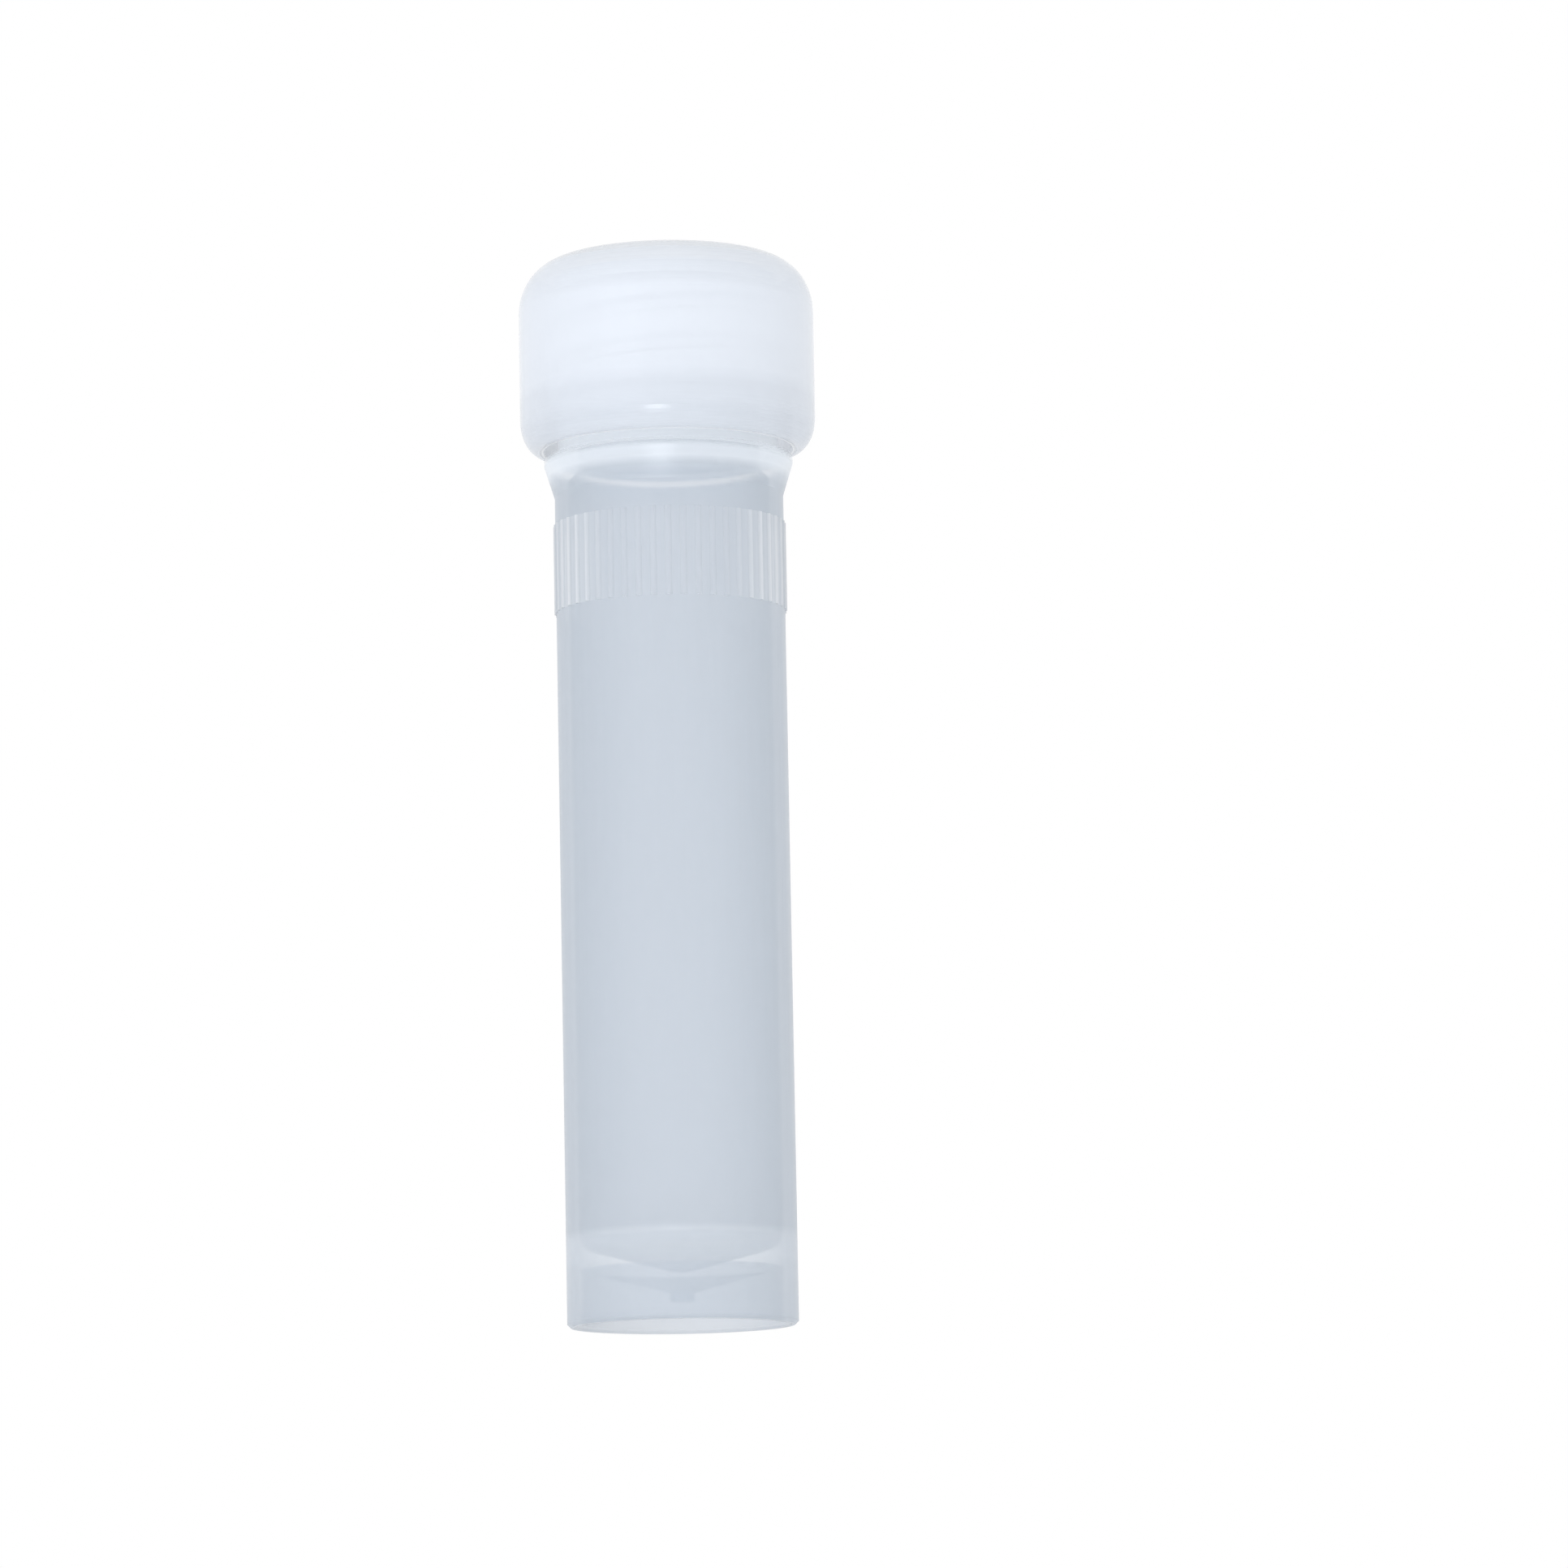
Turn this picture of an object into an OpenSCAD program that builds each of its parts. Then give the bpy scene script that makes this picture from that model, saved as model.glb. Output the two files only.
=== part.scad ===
// Self-standing cryovial: a moulded polypropylene vial on a skirted foot, a smooth screw cap
// and the silicone washer that seals the cap on the vial's mouth.
// Millimetres. +Z runs up the axis, and the origin is the centre of the foot.

/* [Barrel] */
// Outer diameter of the barrel
barrel_d = 17; // [12:0.5:30]
// Thickness of the barrel's wall
barrel_wall = 1; // [0.7:0.1:1.6]
// Height of the collar's lower edge above the foot
collar_z = 61.7; // [30:0.1:110]

/* [Foot and floor] */
// Height of the floor's underside where it meets the skirt
skirt_h = 4.2; // [3:0.1:8]
// Thickness of the skirt
skirt_wall = 1.1; // [0.7:0.1:2]
// Chamfer on both edges of the skirt's foot
foot_chamfer = 0.25; // [0.1:0.05:0.3]
// How far the floor dips from the skirt to its middle
floor_dip = 2; // [0.5:0.1:2.4]
// Thickness of the floor
floor_t = 1.6; // [1:0.1:3]
// Radius of the inside corner between wall and floor
floor_corner_r = 1.5; // [0.5:0.1:3]
// Diameter of the flat in the middle of the floor's inside
floor_flat_d = 1.2; // [0.4:0.1:3]
// Diameter of the gate stub under the floor
gate_d = 1.8; // [1:0.1:3]
// Length of the gate stub
gate_h = 0.4; // [0.2:0.1:0.5]

/* [Grip ribs] */
// Length of the ribs
rib_h = 6.6; // [3:0.1:15]
// Plain band between the ribs and the collar
rib_band = 2.1; // [0.5:0.1:6]
// Distance from rib to rib around the barrel
rib_pitch = 1.11; // [0.9:0.01:3]
// Diameter of one rounded rib
rib_d = 0.6; // [0.4:0.05:0.8]
// How far a rib stands out of the barrel
rib_proud = 0.15; // [0.05:0.01:0.25]

/* [Collar and neck] */
// How far the collar stands out of the barrel
collar_proud = 0.75; // [0.3:0.05:2]
// Height of the collar's tapered underside
collar_taper_h = 2.4; // [0.5:0.1:5]
// Height of the collar's upright rim
collar_rim_h = 0.5; // [0.3:0.1:3]
// Height of the neck, from the collar to the mouth
neck_h = 12.6; // [11:0.1:25]
// How far the neck's outside steps in from the barrel's
neck_inset = 0.3; // [0.1:0.05:0.5]
// Step from the barrel's bore to the neck's narrower bore
bore_step = 0.75; // [0.3:0.05:1.5]
// Height of the bore's step above the collar's lower edge
bore_step_lift = 1.95; // [1:0.05:2.4]
// Chamfer on both edges of the mouth
mouth_chamfer = 0.25; // [0.1:0.05:0.4]

/* [Screw thread] */
// Rise of the thread in one turn
thread_pitch = 3; // [2.6:0.1:4]
// Depth of the thread on the neck and in the cap
thread_depth = 0.65; // [0.3:0.05:0.8]
// Gap between a thread's crest and the wall that it faces
thread_gap = 0.3; // [0.15:0.05:0.5]
// Width of the thread's flat crest
thread_crest_w = 0.6; // [0.3:0.05:0.7]
// Turns of thread on the neck
neck_thread_turns = 2.6; // [1:0.1:2.8]
// Plain stretch between the neck's thread and the mouth
neck_thread_top_gap = 1.4; // [1:0.1:2]
// Turns of thread in the cap
cap_thread_turns = 2; // [1:0.1:2]

/* [Cap] */
// Thickness of the cap's wall behind its thread
cap_wall = 1.85; // [1.5:0.05:3]
// Thickness of the cap's top
cap_top_t = 1.4; // [1:0.1:2.5]
// Gap between the collar and the closed cap
cap_gap = 0.6; // [0.3:0.1:2]
// Depth of the plain mouth below the cap's thread
cap_lead_in_h = 3.5; // [1:0.1:5]
// How much wider the plain mouth's radius is than the threaded stretch's
cap_lead_in_step = 0.15; // [0.05:0.05:0.3]
// Width of the rounding on the cap's top edge
cap_top_round_w = 3.5; // [1:0.1:4]
// Height of the rounding on the cap's top edge
cap_top_round_h = 4; // [1:0.1:5]
// Width of the rounding on the cap's lower edge
cap_rim_round_w = 1.4; // [0.3:0.1:1.4]
// Height of the rounding on the cap's lower edge
cap_rim_round_h = 2.4; // [0.5:0.1:4]
// Height of the raised disc inside the cap that centres the washer
boss_h = 0.8; // [0.4:0.1:0.9]

/* [Seal washer] */
// Thickness of the washer
washer_t = 1; // [1:0.1:2]
// How far the washer reaches into the mouth, past the wall's inner edge
washer_lap = 0.4; // [0.1:0.1:1]
// Gap around the washer in its seat, on both edges
washer_gap = 0.1; // [0.05:0.05:0.2]

/* [Hidden] */

$fn = 96;
ARC_STEPS = 12;
// A thread has this many sections in a turn, sinks this far into its wall, rises out of the wall
// over this angle at each end, and has flanks at this angle to the level.
TURN_STEPS = 36;
THREAD_SINK = 0.3;
THREAD_RUN_IN = 40;
THREAD_FLANK = 30;

barrel_r = barrel_d / 2;
bore_r = barrel_r - barrel_wall;
skirt_r = barrel_r - skirt_wall;
gate_r = gate_d / 2;
floor_flat_r = floor_flat_d / 2;
floor_slope = floor_dip / skirt_r;
floor_angle = atan(floor_slope);
floor_inside_z = skirt_h - floor_dip + floor_t;

rib_top = collar_z - rib_band;
rib_count = round(PI * barrel_d / rib_pitch);

collar_r = barrel_r + collar_proud;
collar_taper_top = collar_z + collar_taper_h;
collar_top = collar_taper_top + collar_rim_h;
mouth_z = collar_top + neck_h;
neck_r = barrel_r - neck_inset;
mouth_r = bore_r - bore_step;
bore_step_top = collar_z + bore_step_lift;

// The cap's thread starts half a pitch above the neck's, so its turns run midway between them.
thread_root_w = thread_crest_w + 2 * thread_depth * tan(THREAD_FLANK);
neck_thread_h = neck_thread_turns * thread_pitch;
neck_thread_z = mouth_z - neck_thread_top_gap - neck_thread_h;
cap_thread_z = neck_thread_z + thread_pitch / 2;

washer_top = mouth_z + washer_t;
washer_bore_r = mouth_r - washer_lap;

cap_bore_r = neck_r + thread_gap + thread_depth;
cap_lead_in_r = cap_bore_r + cap_lead_in_step;
cap_r = cap_bore_r + cap_wall;
cap_rim_z = collar_top + cap_gap;
cap_lead_in_top = cap_rim_z + cap_lead_in_h;
cap_top = washer_top + cap_top_t;
seat_r = neck_r + washer_gap;
seat_taper = cap_bore_r - seat_r;
// The seat takes in the washer and just the tip of the neck.
seat_mouth = mouth_z - washer_gap;
boss_r = washer_bore_r - washer_gap;

// Points along an elliptical arc about centre, from angle a0 to angle a1.
function arc(centre, rx, rz, a0, a1) = [
    for (i = [0:ARC_STEPS])
        let (a = a0 + (a1 - a0) * i / ARC_STEPS)
            centre + [rx * cos(a), rz * sin(a)]
];

// Heights of the floor's two faces at radius r.
function floor_under(r) = skirt_h - floor_dip + floor_slope * r;
function floor_inside(r) = floor_inside_z + floor_slope * r;

// The corner arc is tangent to the bore's wall and to the sloping floor.
function floor_corner() =
    let (c = [bore_r - floor_corner_r,
              floor_inside(bore_r - floor_corner_r) + floor_corner_r / cos(floor_angle)])
        arc(c, floor_corner_r, floor_corner_r, 0, floor_angle - 90);

// How far a thread stands out of its wall at angle a, as a share of its depth.
function thread_rise(a, last_a) = min(1, a / THREAD_RUN_IN, (last_a - a) / THREAD_RUN_IN);

// One section across a thread, as radius and height: root, crest, crest, root. The ends lie inside the wall.
function thread_section(wall_r, side, rise) =
    let (root_r = wall_r - side * THREAD_SINK,
         crest_r = wall_r + side * (thread_depth * rise - THREAD_SINK / 2 * (1 - rise)),
         root_w = thread_root_w + 2 * THREAD_SINK * tan(THREAD_FLANK))
        [[root_r, -root_w / 2], [crest_r, -thread_crest_w / 2],
         [crest_r, thread_crest_w / 2], [root_r, root_w / 2]];

// Right-handed thread on a wall of radius wall_r: on its outside where side is 1, on its inside where it is -1.
module thread(wall_r, side, start_z, turns) {
    steps = round(turns * TURN_STEPS);
    step_a = 360 / TURN_STEPS;
    points = [
        for (i = [0:steps])
            for (p = thread_section(wall_r, side, thread_rise(i * step_a, steps * step_a)))
                [p[0] * cos(i * step_a), p[0] * sin(i * step_a),
                 start_z + i * thread_pitch / TURN_STEPS + p[1]]
    ];
    sides = [
        for (i = [0:steps - 1])
            for (k = [0:3])
                let (a = 4 * i + k, b = 4 * i + (k + 1) % 4)
                    each [[a, b + 4, a + 4], [a, b, b + 4]]
    ];
    ends = [[3, 2, 1, 0], [for (k = [0:3]) 4 * steps + k]];
    outward = concat(sides, ends);
    inward = [for (face = outward) [for (k = [len(face) - 1:-1:0]) face[k]]];
    polyhedron(points, side == 1 ? outward : inward);
}

// Half section of the vial: underside, outside, neck and mouth, then back down the bore.
module vial_section() {
    underside = [
        [0, floor_under(0) - gate_h],
        [gate_r, floor_under(0) - gate_h],
        [gate_r, floor_under(gate_r)],
        [skirt_r, skirt_h],
        [skirt_r, foot_chamfer],
        [skirt_r + foot_chamfer, 0]
    ];
    outside = [
        [barrel_r - foot_chamfer, 0],
        [barrel_r, foot_chamfer],
        [barrel_r, collar_z],
        [collar_r, collar_taper_top],
        [collar_r, collar_top],
        [neck_r, collar_top]
    ];
    mouth = [
        [neck_r, mouth_z - mouth_chamfer],
        [neck_r - mouth_chamfer, mouth_z],
        [mouth_r + mouth_chamfer, mouth_z],
        [mouth_r, mouth_z - mouth_chamfer]
    ];
    bore = [
        [mouth_r, bore_step_top],
        [bore_r, bore_step_top - bore_step]
    ];
    flat = [
        [floor_flat_r, floor_inside(floor_flat_r)],
        [0, floor_inside(floor_flat_r)]
    ];
    polygon(concat(underside, outside, mouth, bore, floor_corner(), flat));
}

// The ring of fine upright ribs that keeps the vial from turning in the hand.
module grip_ribs() {
    for (i = [0:rib_count - 1])
        rotate([0, 0, i * 360 / rib_count])
            translate([barrel_r + rib_proud - rib_d / 2, 0, rib_top - rib_h])
                cylinder(d = rib_d, h = rib_h);
}

module vial() {
    color([0.79, 0.82, 0.86])
        union() {
            rotate_extrude() vial_section();
            grip_ribs();
            thread(neck_r, 1, neck_thread_z, neck_thread_turns);
        }
}

// Half section of the cap: rim, rounded outside, top, then the washer's seat and the bore.
module cap_section() {
    rim = arc([cap_r - cap_rim_round_w, cap_rim_z + cap_rim_round_h],
              cap_rim_round_w, cap_rim_round_h, -90, 0);
    top = arc([cap_r - cap_top_round_w, cap_top - cap_top_round_h],
              cap_top_round_w, cap_top_round_h, 0, 90);
    seat = [
        [0, cap_top],
        [0, washer_top - boss_h],
        [boss_r, washer_top - boss_h],
        [boss_r, washer_top],
        [seat_r, washer_top],
        [seat_r, seat_mouth]
    ];
    bore = [
        [cap_bore_r, seat_mouth - seat_taper],
        [cap_bore_r, cap_lead_in_top],
        [cap_lead_in_r, cap_lead_in_top - cap_lead_in_step],
        [cap_lead_in_r, cap_rim_z]
    ];
    polygon(concat(rim, top, seat, bore));
}

module cap() {
    color([0.92, 0.94, 0.96])
        union() {
            rotate_extrude() cap_section();
            thread(cap_bore_r, -1, cap_thread_z, cap_thread_turns);
        }
}

// Flat ring, as wide as the neck, that the cap presses onto the mouth.
module seal_washer() {
    color([0.86, 0.87, 0.86])
        rotate_extrude()
            translate([washer_bore_r, mouth_z])
                square([neck_r - washer_bore_r, washer_t]);
}

vial();
cap();
seal_washer();
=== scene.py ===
"""The look of a self-standing cryovial: its finishes, its studio and its camera.

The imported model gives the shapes. This script dresses each moulding, and puts
the vial on a pale floor in soft light. All lengths are in metres unless a name
ends in _mm.
"""

import logging
import math
from dataclasses import dataclass
from enum import Enum
from typing import Any, Optional, Sequence, Union

import bpy
from mathutils import Matrix, Vector


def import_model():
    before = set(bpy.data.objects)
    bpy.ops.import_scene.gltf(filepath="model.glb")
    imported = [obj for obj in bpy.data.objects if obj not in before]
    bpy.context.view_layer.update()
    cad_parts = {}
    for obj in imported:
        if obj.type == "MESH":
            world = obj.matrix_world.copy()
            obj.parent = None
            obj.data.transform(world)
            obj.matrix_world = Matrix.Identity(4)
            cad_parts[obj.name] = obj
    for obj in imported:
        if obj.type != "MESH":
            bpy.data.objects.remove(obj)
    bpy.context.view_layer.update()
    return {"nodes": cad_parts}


LOG = logging.getLogger("cryovial")
MM = 0.001
# Nearly all of a noise texture's values lie between these two.
NOISE_LOW, NOISE_HIGH = 0.3, 0.7
STREAK_DETAIL, RIPPLE_DETAIL = 3.0, 2.0
# The blend at which Facing is just 1 less the cosine of the slant.
PLAIN_BLEND = 0.5
RADIAL = (1.0, 1.0, 0.0)

SocketValue = Union[float, Sequence[float], bpy.types.NodeSocket]


def linear(hex_colour: str) -> tuple[float, float, float, float]:
    """Turns an sRGB hex colour into the linear values a shader takes.

    Args:
        hex_colour: The colour as "#rrggbb".

    Returns:
        Red, green, blue and an alpha of 1, all linear.
    """
    digits = hex_colour.lstrip("#")
    channels = [int(digits[i : i + 2], 16) / 255 for i in (0, 2, 4)]
    red, green, blue = (
        c / 12.92 if c <= 0.04045 else ((c + 0.055) / 1.055) ** 2.4 for c in channels
    )
    return red, green, blue, 1.0


def add_node(
    tree: bpy.types.NodeTree,
    kind: str,
    inputs: Optional[dict[Union[str, int], SocketValue]] = None,
    **settings: Any,
) -> bpy.types.Node:
    """Adds one node to a tree with its settings, values and incoming links.

    Args:
        tree: The node tree that gets the node.
        kind: The node's type, such as "ShaderNodeTexNoise".
        inputs: For each input, by name or number, a value or the output it is
            linked from.
        **settings: The node's own properties, such as blend_type="MIX".

    Returns:
        The new node.
    """
    node = tree.nodes.new(kind)
    for name, value in settings.items():
        setattr(node, name, value)
    for name, value in (inputs or {}).items():
        socket = node.inputs[name]
        if isinstance(value, bpy.types.NodeSocket):
            tree.links.new(value, socket)
        else:
            socket.default_value = value
    return node


def new_material(name: str) -> tuple[bpy.types.Material, bpy.types.NodeTree]:
    """Makes an empty node material.

    Args:
        name: The material's name.

    Returns:
        The material and its node tree, with no nodes in it.
    """
    material = bpy.data.materials.new(name)
    material.use_nodes = True
    material.node_tree.nodes.clear()
    return material, material.node_tree


class Flow(Enum):
    """Which way the melt ran in the mould, as the stretch of its streaks."""

    UP_THE_WALL = (1.0, 1.0, 0.2)
    EVERY_WAY = (1.0, 1.0, 1.0)


@dataclass(frozen=True)
class PaintedRing:
    """A ring of painted highlight, paler or clearer than the wall beside it.

    Attributes:
        radius_mm: Radius of the ring.
        height_mm: Its height.
        width_mm: How far from the ring the line fades out.
        strength: How much of the effect the ring itself gets.
        clear: True where the ring is painted as a bright line by letting the white
        surroundings through, and False where it is painted white.
    """

    radius_mm: float
    height_mm: float
    width_mm: float
    strength: float
    clear: bool = False


@dataclass(frozen=True)
class Ribs:
    """A band of fine upright ribs on the outside, how the resin softens them, and
    the sheen painted on their crests.

    Attributes:
        low_mm: Height of their lower ends.
        high_mm: Height of their upper ends.
        root_mm: Radius at their feet.
        crest_mm: Radius beyond which they are crest and not flank.
        root_share: How much of the crests' painted sheen their feet get, 0 to 1.
        calm: How much the resin blurs their shading, 0 to 1.
        pale: How much painted sheen their crests get, seen square on, 0 to 1.
        sheen: How much painted sheen their crests get at a slant, 0 to 1.
        slant: The slants between which they turn from pale to sheen, where 0 is
            square on and 1 is edge on.
    """

    low_mm: float
    high_mm: float
    root_mm: float
    crest_mm: float
    root_share: float = 0.4
    calm: float = 0.6
    pale: float = 0.08
    sheen: float = 0.65
    slant: tuple[float, float] = (0.1, 0.4)


@dataclass(frozen=True)
class MouldedResin:
    """A translucent resin, injection moulded, that scatters light all through.

    Attributes:
        name: The material's name.
        colour: sRGB hex of the resin where the wall is thin.
        pale: sRGB hex of it where the wall is heavy, and on the bands where light is
            painted on.
        cover: Share of the light that one surface of a thin wall stops, met
            square on.
        thick_and_painted_cover: That share where the wall is heavy, and on the bands
            of painted light.
        walls_and_painted_light: How heavy the wall is along the axis, with bands of
            painted light
        and painted shade laid on it: pairs of a height in mm and 0 for thin to
        1 for heavy.
        let_by: Share of the lamps' light that one surface lets into the hollow.
        roughness: Mean roughness of the skin.
        roughness_swing: How far the roughness strays, up and down.
        flow: Which way the melt ran.
        flow_mm: Width of the cloudy streaks that the melt leaves.
        flow_swing: How much darker the cloudiest streaks are, 0 to 1.
        ripple_mm: Spacing of the ripples in the skin.
        ripple_depth_mm: Depth of those ripples.
        corners: The rings of painted highlight, paler or clearer.
        ribs: The ribs on the outside, or None.
        pale_inside: How much of the heavy wall's paleness, and of the painted light on
            it, its inside shows.
        outside_mm: Radius that only the outside of the wall is beyond.
        longest: Most times the wall's own depth that a look goes through it
        from outside.
        longest_inside: Most times, from the inside.
        ior: Index of refraction.
    """

    name: str
    colour: str
    pale: str
    cover: float
    thick_and_painted_cover: float
    walls_and_painted_light: tuple[tuple[float, float], ...]
    let_by: float
    roughness: float
    roughness_swing: float
    flow: Flow
    flow_mm: float
    flow_swing: float
    ripple_mm: float
    ripple_depth_mm: float
    corners: tuple[PaintedRing, ...] = ()
    ribs: Optional[Ribs] = None
    pale_inside: float = 1.0
    outside_mm: float = 8.0
    longest: float = 3.0
    longest_inside: float = 1.0
    ior: float = 1.49

    def material(self) -> bpy.types.Material:
        """Builds the material.

        Returns:
            The finished material.
        """
        material, tree = new_material(self.name)
        where = add_node(tree, "ShaderNodeTexCoord").outputs["Object"]
        streaks = self.streaks(tree, where)
        # how heavy the wall is, with bands of painted light and painted shade laid on
        # it
        thick_and_painted_light = self.thickness_and_painted_light(tree, where)
        outer = self.outer(tree, where)
        on_ribs = self.on_ribs(tree, where, outer)
        # the wall under the ribs is taken to be as heavy as if it were round
        depth_normal = self.calm_normal(tree, where, on_ribs, 1.0)
        calm = self.ribs.calm if self.ribs else 0.0
        normal = self.calm_normal(tree, where, on_ribs, calm)
        # painted highlights: the pale rings, and the painted sheen on the ribs
        glow = add_node(
            tree,
            "ShaderNodeMath",
            {
                0: self.rings(tree, where, clear=False),
                1: self.sheen(tree, where, depth_normal, on_ribs),
            },
            operation="MAXIMUM",
        ).outputs[0]
        resin = add_node(
            tree,
            "ShaderNodeBsdfPrincipled",
            {
                "Base Color": self.tint(tree, streaks, outer, thick_and_painted_light, glow),
                "Roughness": self.spread(
                    tree,
                    streaks,
                    self.roughness - self.roughness_swing,
                    self.roughness + self.roughness_swing,
                ),
                "IOR": self.ior,
                "Alpha": self.stopped(tree, where, depth_normal, outer, thick_and_painted_light, glow),
                "Normal": self.skin(tree, where, normal),
            },
        ).outputs["BSDF"]
        # lamps and the room's light reach the hollow through the wall
        path = add_node(tree, "ShaderNodeLightPath")
        by = (self.let_by, self.let_by, self.let_by, 1.0)
        through = add_node(tree, "ShaderNodeBsdfTransparent", {"Color": by}).outputs[0]
        shader = resin
        for kind in ("Is Diffuse Ray", "Is Shadow Ray"):
            shader = add_node(
                tree,
                "ShaderNodeMixShader",
                {0: path.outputs[kind], 1: shader, 2: through},
            ).outputs[0]
        add_node(tree, "ShaderNodeOutputMaterial", {"Surface": shader})
        return material

    def streaks(
        self, tree: bpy.types.NodeTree, where: bpy.types.NodeSocket
    ) -> bpy.types.NodeSocket:
        """Makes the cloudy streaks that the melt leaves as it flows.

        Args:
            tree: The material's node tree.
            where: The place on the moulding.

        Returns:
            The streaks, from about NOISE_LOW to NOISE_HIGH.
        """
        stretched = add_node(
            tree, "ShaderNodeMapping", {"Vector": where, "Scale": self.flow.value}
        ).outputs["Vector"]
        return add_node(
            tree,
            "ShaderNodeTexNoise",
            {
                "Vector": stretched,
                "Scale": 1 / (self.flow_mm * MM),
                "Detail": STREAK_DETAIL,
            },
        ).outputs["Fac"]

    def spread(
        self,
        tree: bpy.types.NodeTree,
        noise: bpy.types.NodeSocket,
        low: float,
        high: float,
    ) -> bpy.types.NodeSocket:
        """Spreads a noise over a range of values.

        Args:
            tree: The material's node tree.
            noise: The noise.
            low: The value where the noise is lowest.
            high: The value where it is highest.

        Returns:
            The spread values.
        """
        return add_node(
            tree,
            "ShaderNodeMapRange",
            {
                "Value": noise,
                "From Min": NOISE_LOW,
                "From Max": NOISE_HIGH,
                "To Min": low,
                "To Max": high,
            },
        ).outputs["Result"]

    def tint(
        self,
        tree: bpy.types.NodeTree,
        streaks: bpy.types.NodeSocket,
        outer: bpy.types.NodeSocket,
        thick_and_painted_light: bpy.types.NodeSocket,
        glow: SocketValue,
    ) -> bpy.types.NodeSocket:
        """Colours the resin: its streaks, its paler heavy wall and painted light, and
        its painted highlights.

        Args:
            tree: The material's node tree.
            streaks: The streaks that the melt leaves.
            outer: 1 on the outside of the wall and 0 on the inside.
            thick_and_painted_light: How heavy the wall is, with the bands of painted
                light and shade, 0 to 1.
            glow: The share of painted highlight from the rings and of painted sheen on
                the ribs, 0 to 1.

        Returns:
            The colour.
        """
        clouded = add_node(
            tree,
            "ShaderNodeVectorMath",
            {
                0: linear(self.colour)[:3],
                "Scale": self.spread(tree, streaks, 1.0 - self.flow_swing, 1.0),
            },
            operation="SCALE",
        ).outputs[0]
        shown = add_node(
            tree,
            "ShaderNodeMapRange",
            {"Value": outer, "To Min": self.pale_inside, "To Max": 1.0},
        ).outputs["Result"]
        # paler where the wall is heavy and where light is painted on in bands; the
        # inside shows less of it
        paleness = add_node(
            tree, "ShaderNodeMath", {0: thick_and_painted_light, 1: shown}, operation="MULTIPLY"
        ).outputs[0]
        deep_and_painted = add_node(
            tree,
            "ShaderNodeMix",
            {0: paleness, 6: clouded, 7: linear(self.pale)},
            data_type="RGBA",
        ).outputs[2]
        # the painted highlights and sheen turn it white
        return add_node(
            tree,
            "ShaderNodeMix",
            {0: glow, 6: deep_and_painted, 7: linear("#ffffff")},
            data_type="RGBA",
        ).outputs[2]

    def rings(
        self, tree: bpy.types.NodeTree, where: bpy.types.NodeSocket, clear: bool
    ) -> SocketValue:
        """Finds how much paler, or clearer, the rings of painted highlight make a
        place.

        Args:
            tree: The material's node tree.
            where: The place on the moulding.
            clear: True for the clear corners and False for the pale ones.

        Returns:
            The share of the effect, 0 to 1.
        """
        section = add_node(
            tree,
            "ShaderNodeCombineXYZ",
            {"X": self.radius(tree, where), "Y": self.height(tree, where)},
        ).outputs[0]
        share: SocketValue = 0.0
        for corner in (c for c in self.corners if c.clear == clear):
            off = add_node(
                tree,
                "ShaderNodeVectorMath",
                {
                    0: section,
                    1: (corner.radius_mm * MM, corner.height_mm * MM, 0.0),
                },
                operation="DISTANCE",
            ).outputs["Value"]
            line = add_node(
                tree,
                "ShaderNodeMapRange",
                {
                    "Value": off,
                    "From Min": 0.0,
                    "From Max": corner.width_mm * MM,
                    "To Min": corner.strength,
                    "To Max": 0.0,
                },
                interpolation_type="SMOOTHSTEP",
            ).outputs["Result"]
            share = add_node(
                tree, "ShaderNodeMath", {0: share, 1: line}, operation="MAXIMUM"
            ).outputs[0]
        return share

    def height(
        self, tree: bpy.types.NodeTree, where: bpy.types.NodeSocket
    ) -> bpy.types.NodeSocket:
        """Measures how high a place is above the foot."""
        return add_node(tree, "ShaderNodeSeparateXYZ", {0: where}).outputs["Z"]

    def slant(
        self, tree: bpy.types.NodeTree, normal: bpy.types.NodeSocket
    ) -> bpy.types.NodeSocket:
        """Measures the slant a surface is met at, 0 square on to 1 edge on."""
        return add_node(
            tree, "ShaderNodeLayerWeight", {"Blend": PLAIN_BLEND, "Normal": normal}
        ).outputs["Facing"]

    def radius(
        self, tree: bpy.types.NodeTree, where: bpy.types.NodeSocket
    ) -> bpy.types.NodeSocket:
        """Measures how far a place is from the axis.

        Args:
            tree: The material's node tree.
            where: The place on the moulding.

        Returns:
            The distance.
        """
        across = add_node(
            tree,
            "ShaderNodeVectorMath",
            {0: where, 1: RADIAL},
            operation="MULTIPLY",
        ).outputs[0]
        return add_node(
            tree, "ShaderNodeVectorMath", {0: across}, operation="LENGTH"
        ).outputs["Value"]

    def thickness_and_painted_light(
        self, tree: bpy.types.NodeTree, where: bpy.types.NodeSocket
    ) -> bpy.types.NodeSocket:
        """Looks up how heavy the wall is at a place, from its height, with the bands
        of painted light and painted shade laid on it.

        Args:
            tree: The material's node tree.
            where: The place on the moulding.

        Returns:
            How heavy, from 0 for thin to 1 for heavy, raised where light is painted on
            and lowered where shade is.
        """
        low, high = self.walls_and_painted_light[0][0], self.walls_and_painted_light[-1][0]
        along = add_node(
            tree,
            "ShaderNodeMapRange",
            {
                "Value": self.height(tree, where),
                "From Min": low * MM,
                "From Max": high * MM,
            },
        ).outputs["Result"]
        ramp = add_node(tree, "ShaderNodeValToRGB", {"Fac": along})
        stops = ramp.color_ramp.elements
        while len(stops) > 1:
            stops.remove(stops[0])
        for i, (at, value) in enumerate(self.walls_and_painted_light):
            place = (at - low) / (high - low)
            stop = stops[0] if i == 0 else stops.new(place)
            stop.position = place
            stop.color = (value, value, value, 1.0)
        return ramp.outputs["Color"]

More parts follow.
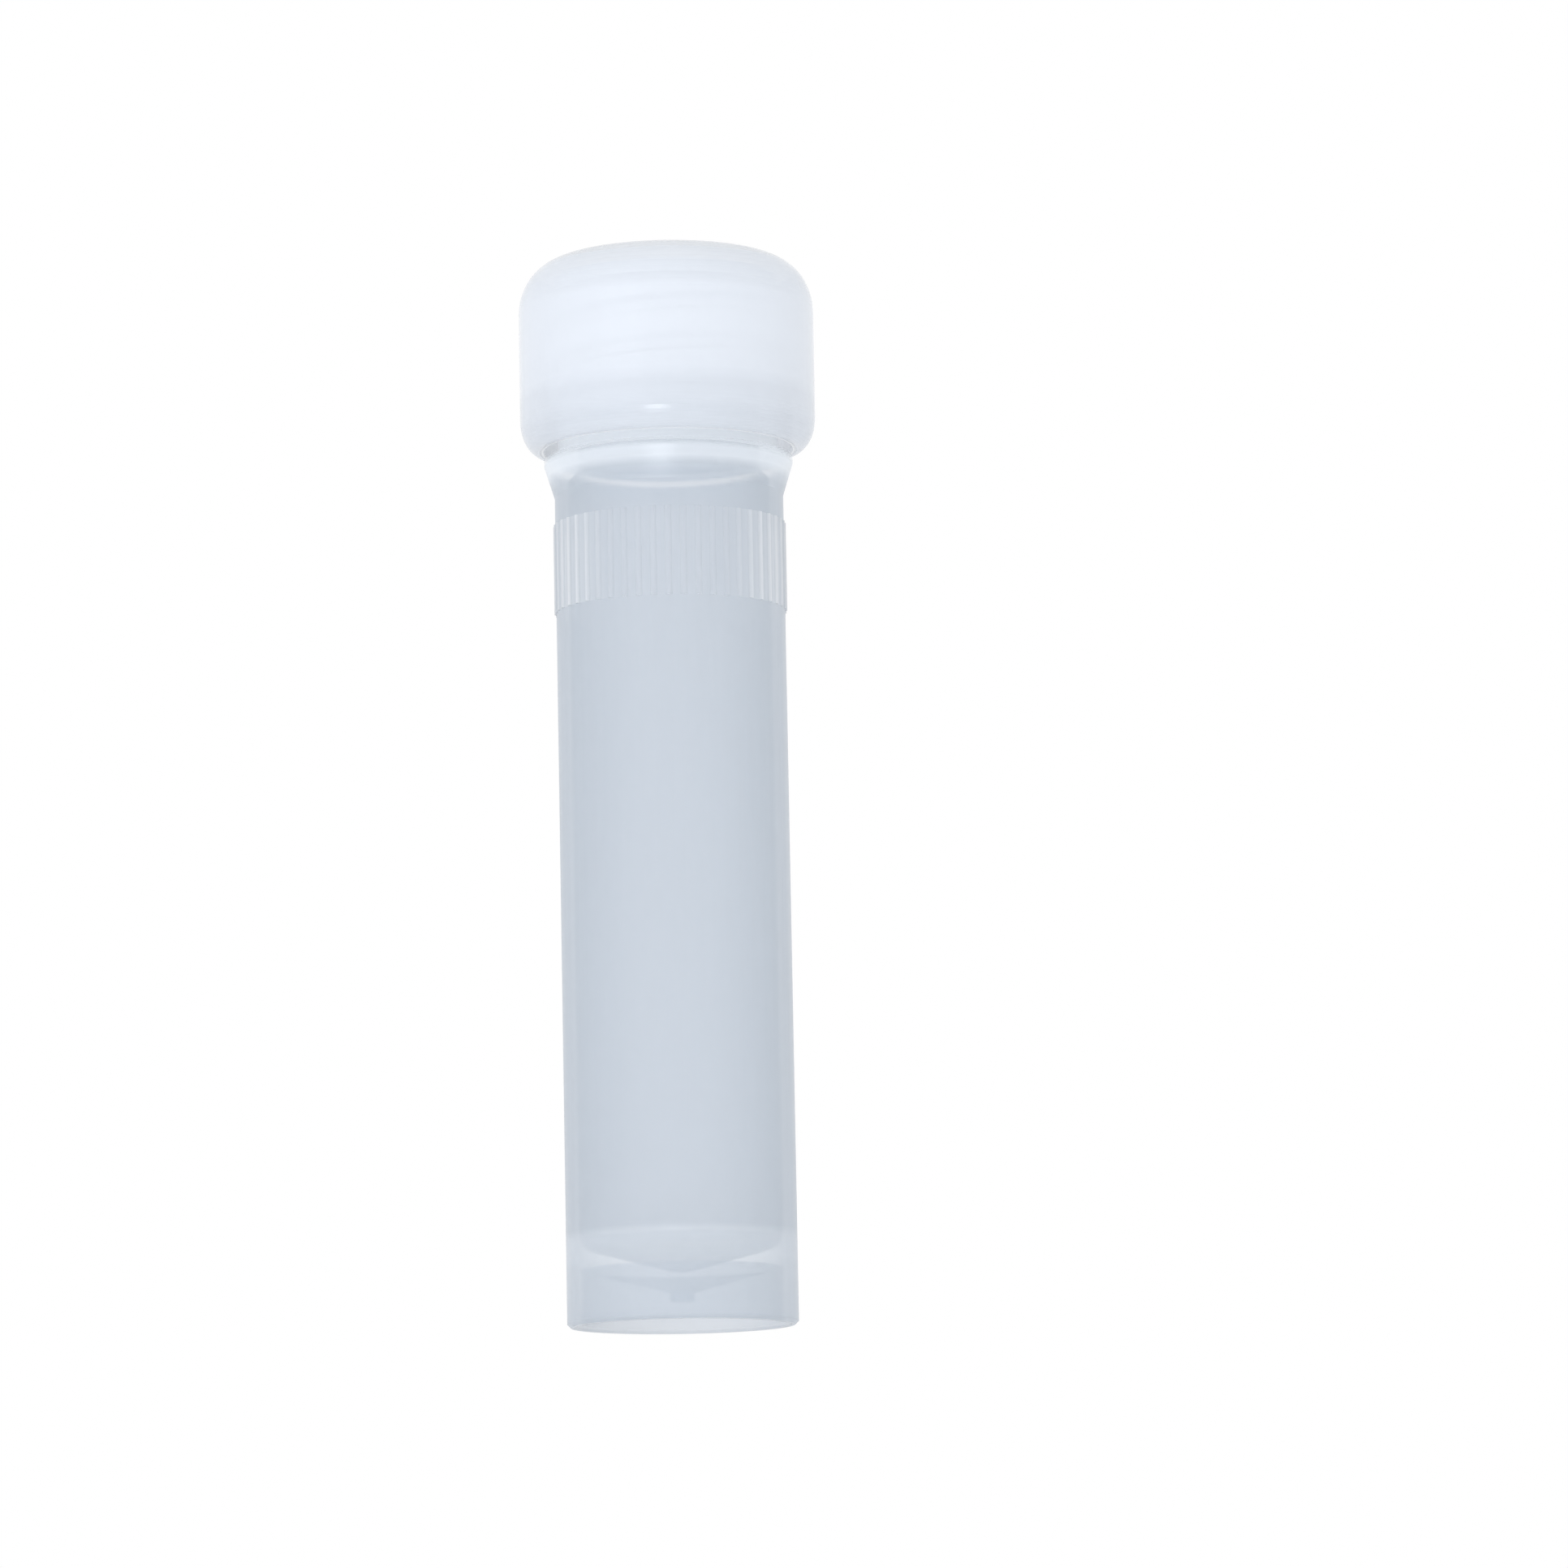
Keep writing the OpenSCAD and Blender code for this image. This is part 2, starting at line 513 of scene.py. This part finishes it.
    def stopped(
        self,
        tree: bpy.types.NodeTree,
        where: bpy.types.NodeSocket,
        normal: bpy.types.NodeSocket,
        outer: bpy.types.NodeSocket,
        thick_and_painted_light: bpy.types.NodeSocket,
        glow: SocketValue,
    ) -> bpy.types.NodeSocket:
        """Works out the share of the light that the wall stops.

        A slanting look goes through more resin, by one over the cosine, so the
        rims of the wall look as full as its middle.

        Args:
            tree: The material's node tree.
            where: The place on the moulding.
            normal: The normal that the wall's depth goes by.
            outer: 1 on the outside of the wall and 0 on the inside.
            thick_and_painted_light: How heavy the wall is, with the bands of painted
                light and shade, 0 to 1.
            glow: The share of painted highlight from the rings and of painted sheen on
                the ribs, 0 to 1.

        Returns:
            The share, 0 to 1.
        """
        open_share = add_node(
            tree,
            "ShaderNodeMapRange",
            {
                "Value": thick_and_painted_light,
                "To Min": 1.0 - self.cover,
                "To Max": 1.0 - self.thick_and_painted_cover,
            },
        ).outputs["Result"]
        cosine = add_node(
            tree,
            "ShaderNodeMath",
            {0: 1.0, 1: self.slant(tree, normal)},
            operation="SUBTRACT",
        ).outputs[0]
        longer = add_node(
            tree, "ShaderNodeMath", {0: 1.0, 1: cosine}, operation="DIVIDE"
        ).outputs[0]
        longest = add_node(
            tree,
            "ShaderNodeMapRange",
            {"Value": outer, "To Min": self.longest_inside, "To Max": self.longest},
        ).outputs["Result"]
        held = add_node(
            tree, "ShaderNodeMath", {0: longer, 1: longest}, operation="MINIMUM"
        ).outputs[0]
        left = add_node(
            tree, "ShaderNodeMath", {0: open_share, 1: held}, operation="POWER"
        ).outputs[0]
        stopped = add_node(
            tree, "ShaderNodeMath", {0: 1.0, 1: left}, operation="SUBTRACT"
        ).outputs[0]
        # the painted highlights stop as much light as they are pale
        full = add_node(
            tree, "ShaderNodeMath", {0: stopped, 1: glow}, operation="MAXIMUM"
        ).outputs[0]
        # the clear rings let the white surroundings through, as painted bright lines
        kept = add_node(
            tree,
            "ShaderNodeMath",
            {0: 1.0, 1: self.rings(tree, where, clear=True)},
            operation="SUBTRACT",
        ).outputs[0]
        return add_node(
            tree, "ShaderNodeMath", {0: full, 1: kept}, operation="MULTIPLY"
        ).outputs[0]

    def outer(
        self, tree: bpy.types.NodeTree, where: bpy.types.NodeSocket
    ) -> bpy.types.NodeSocket:
        """Tells the outside of the wall from the inside.

        Args:
            tree: The material's node tree.
            where: The place on the moulding.

        Returns:
            1 on the outside and 0 on the inside.
        """
        return add_node(
            tree,
            "ShaderNodeMath",
            {0: self.radius(tree, where), 1: self.outside_mm * MM},
            operation="GREATER_THAN",
        ).outputs[0]

    def on_ribs(
        self,
        tree: bpy.types.NodeTree,
        where: bpy.types.NodeSocket,
        outer: bpy.types.NodeSocket,
    ) -> SocketValue:
        """Tells the ribs from the rest.

        Args:
            tree: The material's node tree.
            where: The place on the moulding.
            outer: 1 on the outside of the wall and 0 on the inside.

        Returns:
            1 on the ribs and 0 elsewhere.
        """
        if self.ribs is None:
            return 0.0
        low, high = self.ribs.low_mm * MM, self.ribs.high_mm * MM
        in_band = add_node(
            tree,
            "ShaderNodeMath",
            {
                0: self.height(tree, where),
                1: (low + high) / 2,
                2: (high - low) / 2,
            },
            operation="COMPARE",
        ).outputs[0]
        return add_node(
            tree, "ShaderNodeMath", {0: in_band, 1: outer}, operation="MULTIPLY"
        ).outputs[0]

    def sheen(
        self,
        tree: bpy.types.NodeTree,
        where: bpy.types.NodeSocket,
        normal: bpy.types.NodeSocket,
        on_ribs: SocketValue,
    ) -> SocketValue:
        """Paints a sheen on the ribs, whitest on the crests and at a slant.

        Args:
            tree: The material's node tree.
            where: The place on the moulding.
            normal: The normal that the slant is measured from.
            on_ribs: 1 on the ribs and 0 elsewhere.

        Returns:
            The share of white, 0 to 1.
        """
        if self.ribs is None:
            return 0.0
        slanting = add_node(
            tree,
            "ShaderNodeMapRange",
            {
                "Value": self.slant(tree, normal),
                "From Min": self.ribs.slant[0],
                "From Max": self.ribs.slant[1],
                "To Min": self.ribs.pale,
                "To Max": self.ribs.sheen,
            },
            interpolation_type="SMOOTHSTEP",
        ).outputs["Result"]
        up_the_rib = add_node(
            tree,
            "ShaderNodeMapRange",
            {
                "Value": self.radius(tree, where),
                "From Min": self.ribs.root_mm * MM,
                "From Max": self.ribs.crest_mm * MM,
                "To Min": self.ribs.root_share,
            },
        ).outputs["Result"]
        share = add_node(
            tree, "ShaderNodeMath", {0: up_the_rib, 1: slanting}, operation="MULTIPLY"
        ).outputs[0]
        return add_node(
            tree, "ShaderNodeMath", {0: share, 1: on_ribs}, operation="MULTIPLY"
        ).outputs[0]

    def calm_normal(
        self,
        tree: bpy.types.NodeTree,
        where: bpy.types.NodeSocket,
        on_ribs: SocketValue,
        calm: float,
    ) -> bpy.types.NodeSocket:
        """Softens the ribs, whose flanks blur into each other through the resin.

        Args:
            tree: The material's node tree.
            where: The place on the moulding.
            on_ribs: 1 on the ribs and 0 elsewhere.
            calm: How much of their own shape is lost, 0 to 1.

        Returns:
            Straight out from the axis on the ribs, as far as they are calm,
            and the true normal elsewhere.
        """
        true = add_node(tree, "ShaderNodeNewGeometry").outputs["Normal"]
        if self.ribs is None:
            return true
        out = add_node(
            tree,
            "ShaderNodeVectorMath",
            {0: where, 1: RADIAL},
            operation="MULTIPLY",
        ).outputs[0]
        unit = add_node(
            tree, "ShaderNodeVectorMath", {0: out}, operation="NORMALIZE"
        ).outputs[0]
        world = add_node(
            tree,
            "ShaderNodeVectorTransform",
            {0: unit},
            vector_type="NORMAL",
            convert_from="OBJECT",
            convert_to="WORLD",
        ).outputs[0]
        # ribs met from inside, through the wall, face in and not out
        side = add_node(
            tree, "ShaderNodeVectorMath", {0: world, 1: true}, operation="DOT_PRODUCT"
        ).outputs["Value"]
        way = add_node(tree, "ShaderNodeMath", {0: side}, operation="SIGN").outputs[0]
        facing = add_node(
            tree, "ShaderNodeVectorMath", {0: world, "Scale": way}, operation="SCALE"
        ).outputs[0]
        share = add_node(
            tree, "ShaderNodeMath", {0: on_ribs, 1: calm}, operation="MULTIPLY"
        ).outputs[0]
        return add_node(
            tree,
            "ShaderNodeMix",
            {0: share, 4: true, 5: facing},
            data_type="VECTOR",
        ).outputs[1]

    def skin(
        self,
        tree: bpy.types.NodeTree,
        where: bpy.types.NodeSocket,
        normal: bpy.types.NodeSocket,
    ) -> bpy.types.NodeSocket:
        """Ripples the skin, as the resin shrinks unevenly on its way to cold.

        Args:
            tree: The material's node tree.
            where: The place on the moulding.
            normal: The normal under the ripples.

        Returns:
            The normal.
        """
        ripples = add_node(
            tree,
            "ShaderNodeTexNoise",
            {
                "Vector": where,
                "Scale": 1 / (self.ripple_mm * MM),
                "Detail": RIPPLE_DETAIL,
            },
        ).outputs["Fac"]
        return add_node(
            tree,
            "ShaderNodeBump",
            {
                "Height": ripples,
                "Strength": 1.0,
                "Distance": self.ripple_depth_mm * MM,
                "Normal": normal,
            },
        ).outputs["Normal"]


# Natural polypropylene from a polished mould: hazy, faintly blue, with a soft
# gloss; light is painted on its collar, and highlights on its rings and ribs.
NATURAL = MouldedResin(
    name="Moulded_natural_polypropylene",
    colour="#c4ccd5",
    pale="#f4f8fc",
    cover=0.365,
    thick_and_painted_cover=0.6,
    walls_and_painted_light=(
        (0.0, 0.0),
        (0.8, 0.1),
        (4.2, 0.2),
        (4.8, 0.3),
        (6.2, 0.3),
        (7.0, 0.0),
        # painted light: the collar's lit band and the shaded gap under the cap are
        # raised to full paleness, beyond what the heavier collar gives
        (62.0, 0.0),
        (62.7, 0.35),
        (63.3, 1.0),
        (66.4, 1.0),
        (67.0, 0.6),
        (77.2, 0.6),
    ),
    let_by=0.95,
    roughness=0.30,
    roughness_swing=0.02,
    flow=Flow.UP_THE_WALL,
    flow_mm=6.0,
    flow_swing=0.02,
    ripple_mm=2.5,
    ripple_depth_mm=0.002,
    corners=(
        # clear rings: painted bright lines at the neck's step and the collar's top,
        # and a painted highlight at the gate
        PaintedRing(6.75, 63.9, 0.4, 1.0, clear=True),
        PaintedRing(9.25, 64.5, 0.6, 0.75, clear=True),
        # a pale ring: a painted highlight on the corner of the inner floor
        PaintedRing(7.5, 6.6, 0.3, 0.45),
        PaintedRing(0.0, 1.9, 1.0, 0.8, clear=True),
    ),
    # a sheen is painted on the rib crests, more at a slant
    ribs=Ribs(low_mm=53.0, high_mm=59.6, root_mm=8.5, crest_mm=8.65),
    pale_inside=0.3,
)
# Milky polypropylene, thicker than the vial's: white and close to opaque, with
# a satin gloss, clearer round its thin mouth, its top painted darker as shade,
# and a highlight painted on its lower rim.
MILKY = MouldedResin(
    name="Moulded_milky_polypropylene",
    colour="#e6eaf0",
    pale="#f2f5fa",
    cover=0.4,
    thick_and_painted_cover=0.75,
    walls_and_painted_light=(
        (65.2, 0.1),
        (66.2, 0.2),
        (67.2, 0.45),
        (68.6, 0.5),
        (69.6, 0.85),
        (72.0, 1.0),
        (75.5, 1.0),
        # painted shade: the cap's top fades back to the plain colour, though its resin
        # is heavy there
        (79.6, 0.1),
    ),
    outside_mm=9.6,
    let_by=0.93,
    roughness=0.15,
    roughness_swing=0.03,
    flow=Flow.EVERY_WAY,
    flow_mm=5.0,
    flow_swing=0.02,
    ripple_mm=2.0,
    ripple_depth_mm=0.002,
    # a pale ring: a painted highlight on the inner edge of the cap's lower rim
    corners=(PaintedRing(9.3, 65.2, 0.4, 0.8),),
)
# Pressed silicone rubber: matt and cloudy, so it hides what is behind it.
SILICONE = MouldedResin(
    name="Pressed_silicone_rubber",
    colour="#eef0f0",
    pale="#ffffff",
    cover=0.8,
    thick_and_painted_cover=0.8,
    walls_and_painted_light=((77.2, 0.0), (78.2, 0.0)),
    let_by=0.9,
    roughness=0.45,
    roughness_swing=0.05,
    flow=Flow.EVERY_WAY,
    flow_mm=3.0,
    flow_swing=0.02,
    ripple_mm=0.6,
    ripple_depth_mm=0.004,
    ior=1.41,
)


@dataclass
class Moulding:
    """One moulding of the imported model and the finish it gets."""

    node: str
    finish: MouldedResin

    def dress(self, nodes: dict[str, bpy.types.Object]) -> bpy.types.Object:
        """Puts the finish on the moulding.

        Args:
            nodes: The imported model's nodes by name.

        Returns:
            The dressed node.
        """
        piece = nodes[self.node]
        piece.data.materials.clear()
        piece.data.materials.append(self.finish.material())
        LOG.info("%s: %s", self.node, self.finish.name)
        return piece


@dataclass(frozen=True)
class Lamp:
    """One soft oval lamp that faces the vial.

    Attributes:
        name: The lamp's name.
        azimuth: Degrees round from the front, positive to the right.
        elevation: Degrees above the point it faces.
        distance: From that point to the lamp.
        size: Width and height of the lamp.
        radiance: How bright its face is, where 1 is white.
        colour: sRGB hex of its light.
    """

    name: str
    azimuth: float
    elevation: float
    distance: float
    size: tuple[float, float]
    radiance: float
    colour: str

    def hang(self, target: Vector) -> bpy.types.Object:
        """Hangs the lamp.

        Args:
            target: The point it faces.

        Returns:
            The lamp.
        """
        a, e = math.radians(self.azimuth), math.radians(self.elevation)
        away = Vector(
            (math.sin(a) * math.cos(e), -math.cos(a) * math.cos(e), math.sin(e))
        )
        light = bpy.data.lights.new(self.name, "AREA")
        light.shape = "ELLIPSE"
        light.size, light.size_y = self.size
        light.energy = self.radiance * math.pi * light.size * light.size_y
        light.color = linear(self.colour)[:3]
        lamp = bpy.data.objects.new(self.name, light)
        lamp.rotation_euler = away.to_track_quat("Z", "Y").to_euler()
        lamp.location = target + away * self.distance
        bpy.context.scene.collection.objects.link(lamp)
        return lamp


@dataclass
class Studio:
    """Pale floor, white surroundings and soft lamps.

    Attributes:
        floor_radius: Radius of the round floor.
        floor_sides: Number of sides that make it round.
        floor_colour: sRGB hex of the floor.
        floor_roughness: How matt it is.
        floor_lift: How much whiter the floor looks to the camera.
        fill: Strength of the light from all round.
        fill_colour: sRGB hex of that light.
        lamp_target: The height that the lamps face.
        lamps: The lamps.
    """

    floor_radius: float = 1.6
    floor_sides: int = 96
    floor_colour: str = "#f0f1f2"
    floor_roughness: float = 0.6
    floor_lift: float = 0.22
    fill: float = 0.86
    fill_colour: str = "#f8fbff"
    lamp_target: float = 0.05
    lamps: tuple[Lamp, ...] = (
        Lamp("front_lamp", -8, -24, 0.9, (0.34, 0.16), 11.0, "#f4f8ff"),
        Lamp("left_lamp", -35, -5, 1.0, (0.9, 0.9), 0.38, "#eef3ff"),
        Lamp("top_lamp", 20, 75, 1.0, (0.6, 0.6), 0.2, "#ffffff"),
    )

    def build(self) -> None:
        """Lays the floor, makes the surroundings and hangs the lamps."""
        self.build_floor()
        self.build_world()
        for lamp in self.lamps:
            lamp.hang(Vector((0.0, 0.0, self.lamp_target)))
            LOG.info("%s: radiance %.2f", lamp.name, lamp.radiance)

    def build_floor(self) -> bpy.types.Object:
        """Lays the floor that the vial stands on.

        It is seen and lit from above only, so a lamp and a camera that stand
        lower than the foot look through it. It looks close to white, keeps the
        vial's shadow, and throws no more light on the vial for that.

        Returns:
            The floor.
        """
        material, tree = new_material("Matt_pale_floor")
        geometry = add_node(tree, "ShaderNodeNewGeometry")
        path = add_node(tree, "ShaderNodeLightPath")
        board = add_node(
            tree,
            "ShaderNodeBsdfDiffuse",
            {
                "Color": linear(self.floor_colour),
                "Roughness": self.floor_roughness,
            },
        )
        lift = add_node(
            tree,
            "ShaderNodeMath",
            {0: path.outputs["Is Camera Ray"], 1: self.floor_lift},
            operation="MULTIPLY",
        )
        white = add_node(
            tree,
            "ShaderNodeEmission",
            {"Color": linear("#fffdfa"), "Strength": lift.outputs[0]},
        )
        top = add_node(
            tree, "ShaderNodeAddShader", {0: board.outputs[0], 1: white.outputs[0]}
        )
        clear = add_node(tree, "ShaderNodeBsdfTransparent")
        side = add_node(
            tree,
            "ShaderNodeMixShader",
            {
                0: geometry.outputs["Backfacing"],
                1: top.outputs[0],
                2: clear.outputs["BSDF"],
            },
        )
        add_node(tree, "ShaderNodeOutputMaterial", {"Surface": side.outputs[0]})
        mesh = bpy.data.meshes.new("floor")
        angles = [2 * math.pi * i / self.floor_sides for i in range(self.floor_sides)]
        rim = [
            (self.floor_radius * math.cos(a), self.floor_radius * math.sin(a), 0.0)
            for a in angles
        ]
        mesh.from_pydata(rim, [], [list(range(self.floor_sides))])
        mesh.materials.append(material)
        floor = bpy.data.objects.new("floor", mesh)
        bpy.context.scene.collection.objects.link(floor)
        floor.visible_shadow = False
        floor.visible_glossy = False
        return floor

    def build_world(self) -> bpy.types.World:
        """Makes the white surroundings.

        Returns:
            The world.
        """
        world = bpy.data.worlds.new("White_studio")
        world.use_nodes = True
        tree = world.node_tree
        tree.nodes.clear()
        path = add_node(tree, "ShaderNodeLightPath")
        seen = add_node(
            tree,
            "ShaderNodeMath",
            {0: path.outputs["Is Camera Ray"], 1: path.outputs["Is Glossy Ray"]},
            operation="MAXIMUM",
        ).outputs[0]
        seen = add_node(
            tree,
            "ShaderNodeMath",
            {0: seen, 1: path.outputs["Is Transmission Ray"]},
            operation="MAXIMUM",
        ).outputs[0]
        white = add_node(
            tree,
            "ShaderNodeBackground",
            {"Color": linear("#ffffff"), "Strength": 1.0},
        )
        dim = add_node(
            tree,
            "ShaderNodeBackground",
            {"Color": linear(self.fill_colour), "Strength": self.fill},
        )
        mix = add_node(
            tree,
            "ShaderNodeMixShader",
            {0: seen, 1: dim.outputs[0], 2: white.outputs[0]},
        )
        add_node(tree, "ShaderNodeOutputWorld", {"Surface": mix.outputs[0]})
        bpy.context.scene.world = world
        return world


@dataclass
class ProductCamera:
    """The camera: low, far away and looking slightly up.

    Attributes:
        distance: How far in front of the vial's axis it stands.
        height: Its height above the foot.
        aside: How far to the right it stands and aims.
        aim_height: The height that it aims at.
        roll_degrees: How far it leans.
        view_degrees: The angle that it sees across.
        sensor_mm: Width of its sensor.
        clip: The nearest and farthest distance that it sees.
    """

    distance: float = 0.560
    height: float = -0.040
    aside: float = 0.00815
    aim_height: float = 0.040
    roll_degrees: float = -1.1
    view_degrees: float = 11.72
    sensor_mm: float = 36.0
    clip: tuple[float, float] = (0.01, 20.0)

    def build(self) -> bpy.types.Object:
        """Makes the camera and gives it to the scene.

        Returns:
            The camera.
        """
        data = bpy.data.cameras.new("camera")
        data.sensor_width = self.sensor_mm
        data.lens = self.sensor_mm / 2 / math.tan(math.radians(self.view_degrees) / 2)
        data.clip_start, data.clip_end = self.clip
        camera = bpy.data.objects.new("camera", data)
        place = Vector((self.aside, -self.distance, self.height))
        aim = Vector((self.aside, 0.0, self.aim_height))
        look = (aim - place).to_track_quat("-Z", "Y").to_matrix().to_4x4()
        roll = Matrix.Rotation(math.radians(self.roll_degrees), 4, "Z")
        camera.matrix_world = Matrix.Translation(place) @ look @ roll
        bpy.context.scene.collection.objects.link(camera)
        bpy.context.scene.camera = camera
        return camera


def corners(box: tuple[Vector, Vector]) -> list[list[float]]:
    """Gives a box's lowest and highest corners as plain lists."""
    return [[round(x, 6) for x in corner] for corner in box]


def main() -> None:
    """Dresses the vial, and builds its studio and camera."""
    logging.basicConfig(level=logging.INFO)
    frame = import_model()
    for moulding in (
        Moulding("vial", NATURAL),
        Moulding("cap", MILKY),
        Moulding("seal_washer", SILICONE),
    ):
        moulding.dress(frame["nodes"])
    Studio().build()
    bpy.context.scene.view_settings.view_transform = "Standard"
    ProductCamera().build()


if __name__ == "__main__":
    main()
